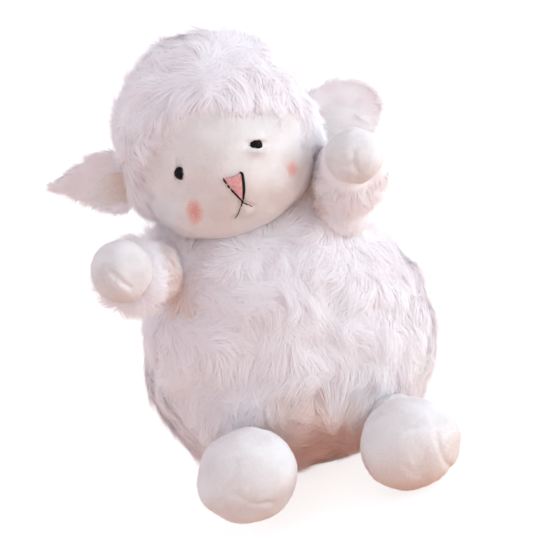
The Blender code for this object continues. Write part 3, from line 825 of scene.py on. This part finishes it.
def face_radius(directions):
    """How far the face's skin is from the head's centre: a full muzzle, and sockets round the eyes."""
    away = angle_to(directions, MUZZLE_AXIS)
    radius = FACE_RADIUS * (1 + MUZZLE_SHARE * np.exp(-((away / MUZZLE_SPREAD) ** 2)))
    outward = angle_to(directions, FACE_AXIS)
    jowl = smoothstep(16 * DEG, 38 * DEG, outward) * (1 - 0.5 * smoothstep(48 * DEG, 60 * DEG, outward))
    radius = radius + JOWL * jowl * smoothstep(0.25, 0.72, -directions[:, 2])
    for side, centre in EYE_CENTRES.items():
        towards = unit(centre - HEAD_CENTRE)
        right = unit(np.cross(towards, np.cross(VIEW_RIGHT, towards)))
        up = unit(np.cross(towards, right)) * -1
        across, above = directions @ right * FACE_RADIUS, directions @ up * FACE_RADIUS
        near = directions @ towards > 0.5
        reach = np.hypot(across, above)
        radius = radius - near * SOCKET_DEPTH * np.exp(-((reach / SOCKET_REACH) ** 2))
        fade = np.exp(-((reach / LID_REACH) ** 2))
        if side == "right":
            lid = 3.2 * MM * smoothstep(0.7 * MM, 3.0 * MM, np.abs(across - 0.1 * MM))
        else:
            lid = 3.8 * MM * smoothstep(0.1 * MM, 2.4 * MM, above)
            lid = lid + 2.4 * MM * smoothstep(0.9 * MM, 2.9 * MM, -above)
        radius = radius + near * lid * fade
    return radius


def on_face(x, y, lift=0.0):
    """The point of the face's skin at a pixel of the photograph, raised a little."""
    point = seen(x, y, HEAD_CENTRE, face_radius)
    return point + unit(point - HEAD_CENTRE) * lift


def blush_at(points):
    """How strong the blush is at each point, from 0 to about 1."""
    total = np.zeros(len(points))
    for (x, y), wide, tall, strength in BLUSHES:
        off = points - on_face(x, y)
        total += strength * np.exp(-((off @ VIEW_RIGHT / wide) ** 2) - ((off @ VIEW_UP / tall) ** 2))
    return total


def blush_tints(points, slots, rng):
    """Pile tinted by the blush, and else as it was."""
    level = blush_at(points) * rng.uniform(0.75, 1.25, len(points))
    return np.where(level > 0.18, 3 + np.digitize(level, [0.42, 0.75]), slots)


def cap_directions(axis, start, end, rows, columns):
    """Directions in rings about an axis, from one angle to another."""
    angles = np.linspace(0, 2 * math.pi, columns, endpoint=False)
    side = np.array([1.0, 0, 0])
    up = np.cross(axis, side)
    ring = np.cos(angles)[:, None] * side + np.sin(angles)[:, None] * up
    down = np.linspace(start, end, rows)
    return np.cos(down)[:, None, None] * axis + np.sin(down)[:, None, None] * ring[None]


def build_hood():
    """The long fleece round the head, which hangs a little over the face's edge."""
    directions = cap_directions(-FACE_AXIS, 0, math.pi - FACE_HALF_ANGLE + 4 * DEG, 90, 160)
    away = directions.reshape(-1, 3)
    seam = face_radius(away) - SEAM_INSET
    share = smoothstep(0, 15 * DEG, angle_to(away, FACE_AXIS) - FACE_HALF_ANGLE)
    radius = seam + (HEAD_RADIUS - HOOD_INSET - seam) * share
    radius = radius - HEM_INSET * (angle_to(away, FACE_AXIS) < FACE_HALF_ANGLE - 1 * DEG)
    hood = grid_mesh("hood_skin", HEAD_CENTRE + directions * radius.reshape(directions.shape[:2])[:, :, None])
    swell(hood, "hood")
    for x, y, z, height in HOOD_FILLS:
        cheek = HEAD_CENTRE + np.array([x, y, z]) * HEAD_RADIUS
        clear = lambda p: smoothstep(2 * DEG, 14 * DEG, past_seam(p))
        move_skin(hood, lambda p: height * MM * clear(p) * bell(p, cheek, CHEEK_REACH))

    def flow(points):
        away = unit(points - HEAD_CENTRE)
        behind = past_seam(points)
        forward = unit(FACE_AXIS - (away @ FACE_AXIS)[:, None] * away)
        around = np.cross(away, forward) * np.where(away[:, 0:1] > 0.1, 1, -1)
        turn = 165 * DEG * smoothstep(-4 * DEG, 46 * DEG, behind)[:, None]
        down = np.array([0, 0, -0.8]) * smoothstep(40 * DEG, 90 * DEG, behind)[:, None]
        whole = forward * np.cos(turn) + around * np.sin(turn) + down
        for side in SIDES:
            direction = ear_axes(side)[0]
            near = bell(points - HEAD_CENTRE, direction * HEAD_RADIUS, 12 * MM)
            whole = whole + 1.2 * near[:, None] * direction
        return whole

    keep = lambda p: past_seam(p) > -1 * DEG
    style = dict(FLEECE, length=12 * MM, lock=8 * MM, swirl=0.95, wander=46 * MM)
    style["fall"] = lambda p: FLEECE["fall"] + 11 * DEG * (1 - smoothstep(0, 9 * DEG, past_seam(p)))
    nodes = ("head_fleece", "head_stuffing", "neck_collar")
    ragged = lambda p: (1 + 0.4 * ripple(p, 4 * MM, 73)).clip(0.4, 1.5)
    style["shorten"] = lambda p: ragged(p) * 0.42 + 0.58 * smoothstep(0, 16 * DEG, past_seam(p))
    fleece("hood", "head", hood, flow, *pile_of("hood"), keep, style=style, parts=2, nodes=nodes)


def build_face():
    """The short plush face with its muzzle, blush, mouth and eye sockets."""
    directions = cap_directions(FACE_AXIS, 0, FACE_HALF_ANGLE + FACE_TUCK, 170, 240)
    radius = face_radius(directions.reshape(-1, 3)).reshape(directions.shape[:2])
    face = grid_mesh("face_form", HEAD_CENTRE + directions * radius[:, :, None])
    swell(face, "face")
    for line in MOUTH_LINES:
        crease(face, [on_face(x, y) for x, y in line], *MOUTH_CREASE)
    chin = on_face(243.5, 213.0)
    move_skin(face, lambda p: CHIN_HEIGHT * bell(p, chin, CHIN_REACH))

    def flow(points):
        away = unit(points - HEAD_CENTRE)
        return away - MUZZLE_AXIS * (away @ MUZZLE_AXIS)[:, None] + np.array([0, 0, -0.25])

    def keep(points):
        off = [points - centre for centre in EYE_FRONTS.values()]
        clear = np.min([np.linalg.norm(gap, axis=1) for gap in off], axis=0)
        return (clear > 2.6 * MM) & (past_seam(points) < 3 * DEG)

    def rim(points):
        away = unit(points - HEAD_CENTRE)
        return smoothstep(36 * DEG, 54 * DEG, angle_to(away, FACE_AXIS)) * smoothstep(0.15, 0.6, -away[:, 2])

    style = dict(NAP, fall=lambda p: NAP["fall"] + 22 * DEG * rim(p), shorten=lambda p: 1 + 1.2 * rim(p))
    nap("face", "head", face, flow, *pile_of("face"), keep, blush_tints, style=style, nodes=("face_panel",))


def stitch(name, lines, mat, node=None):
    """Rows of thread on the face, each a line of pixels with the thread's radius and lift."""
    grids = []
    for pixels, radius, lift in lines:
        spots = [on_face(x, y, lift) for x, y in pixels]
        grids.append(tube_grid(smooth_path(spots, max(8, 4 * len(spots))), radius))
    piece = grid_mesh(name, *grids)
    piece.data.materials.append(mat)
    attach(piece, "head")
    if node:
        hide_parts(node)
    return piece


def build_nose():
    """A satin-stitched triangle with a black outline, and the mouth's two lines under it."""
    left, right, tip = np.array([223.6, 177.6]), np.array([240.6, 171.8]), np.array([242.0, 199.4])
    rows = []
    for k in range(NOSE_ROWS):
        share = (k + 0.5) / NOSE_ROWS
        top = left + (right - left) * share
        low = top + (tip - (left + right) / 2) * (1 - abs(2 * share - 1)) ** 0.9
        mid = top * 0.5 + low * 0.5
        dome = 0.5 * MM + 0.7 * MM * (1 - abs(2 * share - 1) ** 2)
        rows.append(((top, mid, low), 0.36 * MM, dome))
    stitch("nose_stitches", rows, NOSE, "nose_patch")
    edge = [
        (
            ((238.4, 171.6), (241.4, 172.6), (243.0, 181.0), (243.4, 190.6), (241.8, 200.6)),
            0.62 * MM, 0.9 * MM,
        ),
        (((223.0, 177.2), (226.4, 183.6)), 0.42 * MM, 0.7 * MM),
        (((226.8, 184.4), (229.8, 187.8)), 0.36 * MM, 0.6 * MM),
        (((230.0, 188.0), (235.6, 193.6), (241.6, 199.8)), 0.48 * MM, 0.7 * MM),
        (((241.4, 199.0), (242.6, 202.6)), 0.55 * MM, 0.6 * MM),
    ]
    edge += [(MOUTH_LINES[0][:2], 0.36 * MM, 0.9 * MM), (MOUTH_LINES[0][1:], 0.2 * MM, 0.4 * MM)]
    edge += [(MOUTH_LINES[1][:2], 0.32 * MM, 0.8 * MM), (MOUTH_LINES[1][1:], 0.18 * MM, 0.4 * MM)]
    stitch("face_thread", edge, THREAD)


# Ears

def ear_axes(side):
    """The way that an ear points, and the way across it."""
    tilt = EAR_TILT[side]
    direction = np.array([SIDES[side] * math.cos(tilt), 0, math.sin(tilt)])
    return direction, np.array([-SIDES[side] * math.sin(tilt), 0, math.cos(tilt)])


def ear_grid(side, start, end, size, back, front, inset=0.0):
    """A leaf between two shares of the ear's length, with the thickness of its back and front halves."""
    direction, up = ear_axes(side)
    origin = HEAD_CENTRE + direction * (HEAD_RADIUS + EAR_ROOT_RADIUS)
    shares = [(0, EAR_ROOT_WIDTH_SHARE, 0.5)] + list(EAR_SHARES) + [(1, 0, 0)]
    shares = smooth_path(shares, 40)
    shares = np.vstack([[shares[0, 0], 0, 0], shares])
    angles = np.linspace(0, 2 * math.pi, 56, endpoint=False)
    along = EAR_LENGTH * (start + (end - start) * shares[:, 0])
    pinch = 1 - EAR_PINCH[side] * np.clip(along / EAR_LENGTH, 0, 1) ** 1.5
    width = np.maximum(EAR_HALF_WIDTH * size * shares[:, 1] * pinch - inset, 0)
    width[[0, -1]] = 0
    sweep = EAR_LENGTH * EAR_SWEEP_SHARE[side] * (along / EAR_LENGTH) ** 2
    across = width[:, None] * np.cos(angles)[None]
    flare = EAR_FLARE[side] * np.exp(-((along / (8 * MM)) ** 2))[:, None]
    across = across * (1 + flare * np.where(across < 0, 1, 0.5))
    deep = np.where(np.sin(angles) > 0, back, front)[None] * np.sin(angles)[None] * shares[:, 2:3]
    deep[[0, -1]] = 0
    cup = -EAR_CUP * (across / EAR_HALF_WIDTH) ** 2
    grid = origin + along[:, None, None] * direction + (across + sweep[:, None])[:, :, None] * up
    return grid + (deep + cup)[:, :, None] * np.array([0, 1.0, 0]), origin, direction, up


def build_ear(side):
    """A fleece back with a fringe past its edge, and a plush lining in front."""
    body = "ear_" + side
    grid, origin, direction, up = ear_grid(side, -0.12, 0.94, 1.0, EAR_HALF_THICKNESS, 1.6 * MM, EAR_INSET)
    back = grid_mesh("ear_skin_" + side, grid)
    swell(back, "ear", side)

    def flow(points):
        off = points - origin
        outward = up * np.clip((off @ up) / EAR_HALF_WIDTH, -1, 1)[:, None]
        spread = (0.8 - 1.0 * EAR_PINCH[side] * (off @ direction) / EAR_LENGTH)[:, None]
        return direction + spread * outward * smoothstep(0.2, 0.9, np.abs(off @ up) / EAR_HALF_WIDTH)[:, None]

    style = dict(FLEECE, length=EAR_PILE[side], lock=6 * MM, rise=40 * DEG, swirl=0.4, curl=0.4, tufts=0.2)
    tip = EAR_TIP_TUFT[side]
    style["shorten"] = lambda p: 1 + tip * smoothstep(0.55, 0.95, ((p - origin) @ direction) / EAR_LENGTH)
    thickness = EAR_HALF_THICKNESS * LINING_THICKNESS_SHARE
    end, size, drop = LINING_SHAPE[side]

    def keep(points):
        off = points - origin
        along = off @ direction / EAR_LENGTH
        across = (off @ up - EAR_LENGTH * EAR_SWEEP_SHARE[side] * along ** 2) / EAR_HALF_WIDTH + drop
        return (off[:, 1] > -0.3 * MM) | ((along / (0.8 * end)) ** 2 + (across / (0.8 * size)) ** 2 > 1)

    name = "ear_fleece_" + side
    fleece(name, body, back, flow, *pile_of("ear", side), keep, style=style, nodes=(name,))
    grid = ear_grid(side, LINING_START_SHARE, end, size, -0.2 * MM, thickness)[0] - drop * EAR_HALF_WIDTH * up
    lining = grid_mesh("ear_lining_form_" + side, grid)
    away = lambda p: np.tile(direction, (len(p), 1))

    # Painted warm shade on the lining near the ear's root, where the ear meets the head
    def warm(points, slots, rng):
        level = rng.uniform(0, LINING_PAINTED_SHADE[side], len(points))
        return np.where((points - origin) @ direction < level, PAINTED_SHADE_SLOT, slots)

    name = "ear_lining_" + side
    nap(name, body, lining, away, *pile_of("lining", side), tint_of=warm, nodes=(name,))


# Limbs

def limb_path(shares, length, radius, root_radius, count=60):
    """Points of a limb's side from its ball-shaped root to its end."""
    points = arc(root_radius, math.pi, ROOT_CONE, 6) + [(length * a, radius * w) for a, w in shares]
    return smooth_path(points, count)


def build_arm(side):
    """A fleece sleeve and a plush hand whose end seam is drawn in."""
    shoulder = joint_place("shoulder_" + side)
    direction = heading(side, ARM_TURN[side], ARM_LIFT[side])
    body = "arm_" + side
    wrist = ARM_LENGTH * WRIST_SHARE
    shares = [(a * wrist / ARM_LENGTH, w) for a, w in SLEEVE_SHARES]
    path = limb_path(shares, ARM_LENGTH, SLEEVE_RADIUS, SHOULDER_RADIUS)
    path = np.vstack([path, [(wrist, HAND_RADIUS * 0.8)]])
    root, cuff = SLEEVE_TRIM[side]
    path[:, 1] = np.maximum(path[:, 1] - root - (cuff - root) * smoothstep(0.2 * wrist, wrist, path[:, 0]), 0)
    path[0, 1] = 0
    path = np.vstack([path, [(wrist, 0)]])
    sway = smoothstep(SWAY_START, 0.3 * wrist, path[:, 0])[:, None, None] * ARM_SHIFT[side]
    sway = sway + smoothstep(0.3 * wrist, wrist, path[:, 0])[:, None, None] * CUFF_DROP[side]
    base = grid_mesh("sleeve_skin_" + side, turned_grid(path, shoulder, direction, 72) + sway)
    swell(base, "sleeve", side)
    style = dict(FLEECE, length=11 * MM, lock=7 * MM)
    style["shorten"] = lambda p: 0.55 + 0.45 * smoothstep(0, 0.5 * wrist, (p - shoulder) @ direction)
    flow = lambda p: np.tile(-direction, (len(p), 1)) + np.array([0, 0, -0.5])
    keep = lambda p: (p - shoulder) @ direction < wrist - 0.5 * MM
    nodes = ("sleeve_" + side, "arm_stuffing_" + side)
    # The sleeve's fleece takes painted warm shade where it meets the body and face
    fleece(
        "sleeve_" + side, body, base, flow, *pile_of("sleeve", side), keep,
        style=style, tint_of=painted_shade_tints, nodes=nodes,
    )
    shares = [(0.50, 0.0), (0.50, 0.7)] + list(HAND_SHARES)
    path = smooth_path([(ARM_LENGTH * a, HAND_RADIUS * w) for a, w in shares] + [(ARM_LENGTH, 0)], 110)
    middle = shoulder + direction * ARM_LENGTH * HAND_MIDDLE_SHARE
    grid = (turned_grid(path, shoulder, direction, 140) - middle) * HAND_SIZE[side] + middle
    hand = grid_mesh("hand_form_" + side, grid + HAND_SHIFT[side])
    swell(hand, "hand", side)
    middle = middle + HAND_SHIFT[side]
    ball = lambda d: np.full(len(d), HAND_RADIUS * HAND_SIZE[side])
    for line, depth, width in HAND_CREASES[side]:
        crease(hand, [seen(x, y, middle, ball) for x, y in line], depth * MM, width * MM)
    flow = lambda p: -np.tile(direction, (len(p), 1)) + np.array([0, 0, -0.6])
    nap("hand_" + side, body, hand, flow, *pile_of("hand", side), nodes=("hand_" + side,))


def squeeze(obj, level, share):
    """Flatten a form towards a level."""
    corners, _, _ = mesh_arrays(obj.data)
    corners[:, 2] = level + (corners[:, 2] - level) * share
    set_corners(obj, corners)


def build_leg(side):
    """A plush leg whose end seam gathers its sole."""
    hip = joint_place("hip_" + side)
    direction = heading(side, LEG_TURN[side], LEG_LIFT[side])
    shares = [(0.18, 0.60)] + list(LEG_SHARES) + [(1, 0)]
    path = limb_path(shares, LEG_LENGTH, FOOT_RADIUS, HIP_RADIUS * LEG_ROOT_SHARE, 150)
    leg = grid_mesh("leg_form_" + side, turned_grid(path, hip, direction, 200))
    swell(leg, "leg", side)
    shift = FOOT_SHIFT[side]
    middle = hip + direction * LEG_LENGTH * FOOT_MIDDLE_SHARE + np.array(shift)
    leg.data.transform(Matrix.Translation(shift))
    squeeze(leg, FOOT_REST[side], FOOT_SQUEEZE[side])
    middle[2] = FOOT_REST[side] + (middle[2] - FOOT_REST[side]) * FOOT_SQUEEZE[side]
    ball = lambda d: np.full(len(d), FOOT_RADIUS * FOOT_BALL_SHARE)
    for line, depth, width in LEG_CREASES[side]:
        crease(leg, [seen(x, y, middle, ball) for x, y in line], depth * MM, width * MM)
    press_flat(leg, FLOOR_GAP)
    flow = lambda p: -np.tile(direction, (len(p), 1)) + np.array([0, 0, -1.0])
    nodes = ("leg_" + side, "leg_stuffing_" + side)

    # Painted warm shade low on the foot, near the floor
    def warm(points, slots, rng):
        level = rng.uniform(0, FOOT_PAINTED_SHADE[side] * 2, len(points))
        return np.where(points[:, 2] < level, PAINTED_SHADE_SLOT, slots)

    keep = lambda p: p[:, 2] > 1 * MM
    nap("leg_" + side, "leg_" + side, leg, flow, *pile_of("leg", side), keep, warm, nodes=nodes)


def build_tail():
    """A short fleece tail."""
    root = joint_place("tail_wag")
    direction = np.array([0, math.cos(TAIL_LIFT), math.sin(TAIL_LIFT)])
    path = limb_path(list(TAIL_SHARES) + [(1, 0)], TAIL_LENGTH, TAIL_RADIUS, TAIL_ROOT_RADIUS)
    path[:, 1] = np.maximum(path[:, 1] - LIMB_INSET, 0)
    base = grid_mesh("tail_skin", turned_grid(path, root, direction, 48))
    swell(base, "tail")
    style = dict(FLEECE, length=10 * MM, lock=6 * MM)
    away = lambda p: np.tile(direction, (len(p), 1)) + np.array([0, 0, -0.4])
    fleece("tail", "tail", base, away, *pile_of("tail"), style=style, nodes=("tail_fleece",))


def set_plain_materials():
    """The pieces that keep their solid."""
    for side in SIDES:
        for node, mat in (("eye_" + side, EYE), ("eye_washer_" + side, WASHER)):
            frame["nodes"][node].data.materials.clear()
            frame["nodes"][node].data.materials.append(mat)


# Stage

def build_camera():
    """The photograph's view: in front, above, and rolled."""
    data = bpy.data.cameras.new("camera")
    data.lens = LENS
    data.sensor_width = SENSOR
    camera = add_object("camera", data)
    matrix = Matrix.Identity(4)
    for k, axis in enumerate((VIEW_RIGHT, VIEW_UP, VIEW_BACK, VIEW_PLACE)):
        for row in range(3):
            matrix[row][k] = axis[row]
    camera.matrix_world = matrix
    bpy.context.scene.camera = camera


def area_light(name, place, target, size, power, colour):
    """A soft square lamp that looks at a point."""
    data = bpy.data.lights.new(name, "AREA")
    data.size = size
    data.energy = power
    data.color = colour
    lamp = add_object(name, data)
    lamp.location = place
    lamp.rotation_euler = (Vector(place) - Vector(target)).to_track_quat("Z", "Y").to_euler()


def split_camera(tree, others, camera, output):
    """Give one shader to the camera, and another to all other rays."""
    path = tree.nodes.new("ShaderNodeLightPath")
    pick = tree.nodes.new("ShaderNodeMixShader")
    tree.links.new(path.outputs["Is Camera Ray"], pick.inputs[0])
    tree.links.new(others.outputs[0], pick.inputs[1])
    tree.links.new(camera.outputs[0], pick.inputs[2])
    tree.links.new(pick.outputs[0], tree.nodes[output].inputs["Surface"])


def floor_material():
    """White with the object's shadow to the camera, and warm and pale to everything that it lights."""
    mat = principled("floor", (0.84, 0.55, 0.42), 0.9)
    tree = mat.node_tree
    white = tree.nodes.new("ShaderNodeEmission")
    shadow = tree.nodes.new("ShaderNodeBsdfDiffuse")
    shadow.inputs["Color"].default_value = (0.45, 0.45, 0.45, 1)
    white.inputs["Strength"].default_value = 0.75
    to_camera = tree.nodes.new("ShaderNodeAddShader")
    tree.links.new(white.outputs[0], to_camera.inputs[0])
    tree.links.new(shadow.outputs[0], to_camera.inputs[1])
    split_camera(tree, tree.nodes["Principled BSDF"], to_camera, "Material Output")
    return mat


def build_stage():
    """A white floor that sends warm light back up, soft lamps and a pale world."""
    corners = [(-1, -1), (1, -1), (1, 1), (-1, 1)]
    mesh = bpy.data.meshes.new("floor")
    mesh.from_pydata([(x * FLOOR_HALF, y * FLOOR_HALF, 0) for x, y in corners], [], [(0, 1, 2, 3)])
    floor = add_object("floor", mesh)
    mesh.materials.append(floor_material())
    for name, place, power, colour in LAMPS:
        area_light(name, place, LAMP_TARGET, LAMP_SIZE, power, colour)
    world = bpy.data.worlds.new("world")
    bpy.context.scene.world = world
    world.use_nodes = True
    tree = world.node_tree
    glow = tree.nodes["Background"]
    glow.inputs["Color"].default_value = GLOW_COLOUR
    glow.inputs["Strength"].default_value = GLOW_STRENGTH
    plain = tree.nodes.new("ShaderNodeBackground")
    plain.inputs["Color"].default_value = (1, 1, 1, 1)
    split_camera(tree, glow, plain, "World Output")


build_torso()
build_hood()
build_face()
build_nose()
for side in SIDES:
    build_ear(side)
    build_arm(side)
    build_leg(side)
build_tail()
set_plain_materials()
build_camera()
build_stage()
bpy.context.scene.view_settings.view_transform = "Standard"
bpy.context.scene.cycles.diffuse_bounces = 16
bpy.context.scene.cycles.max_bounces = 20
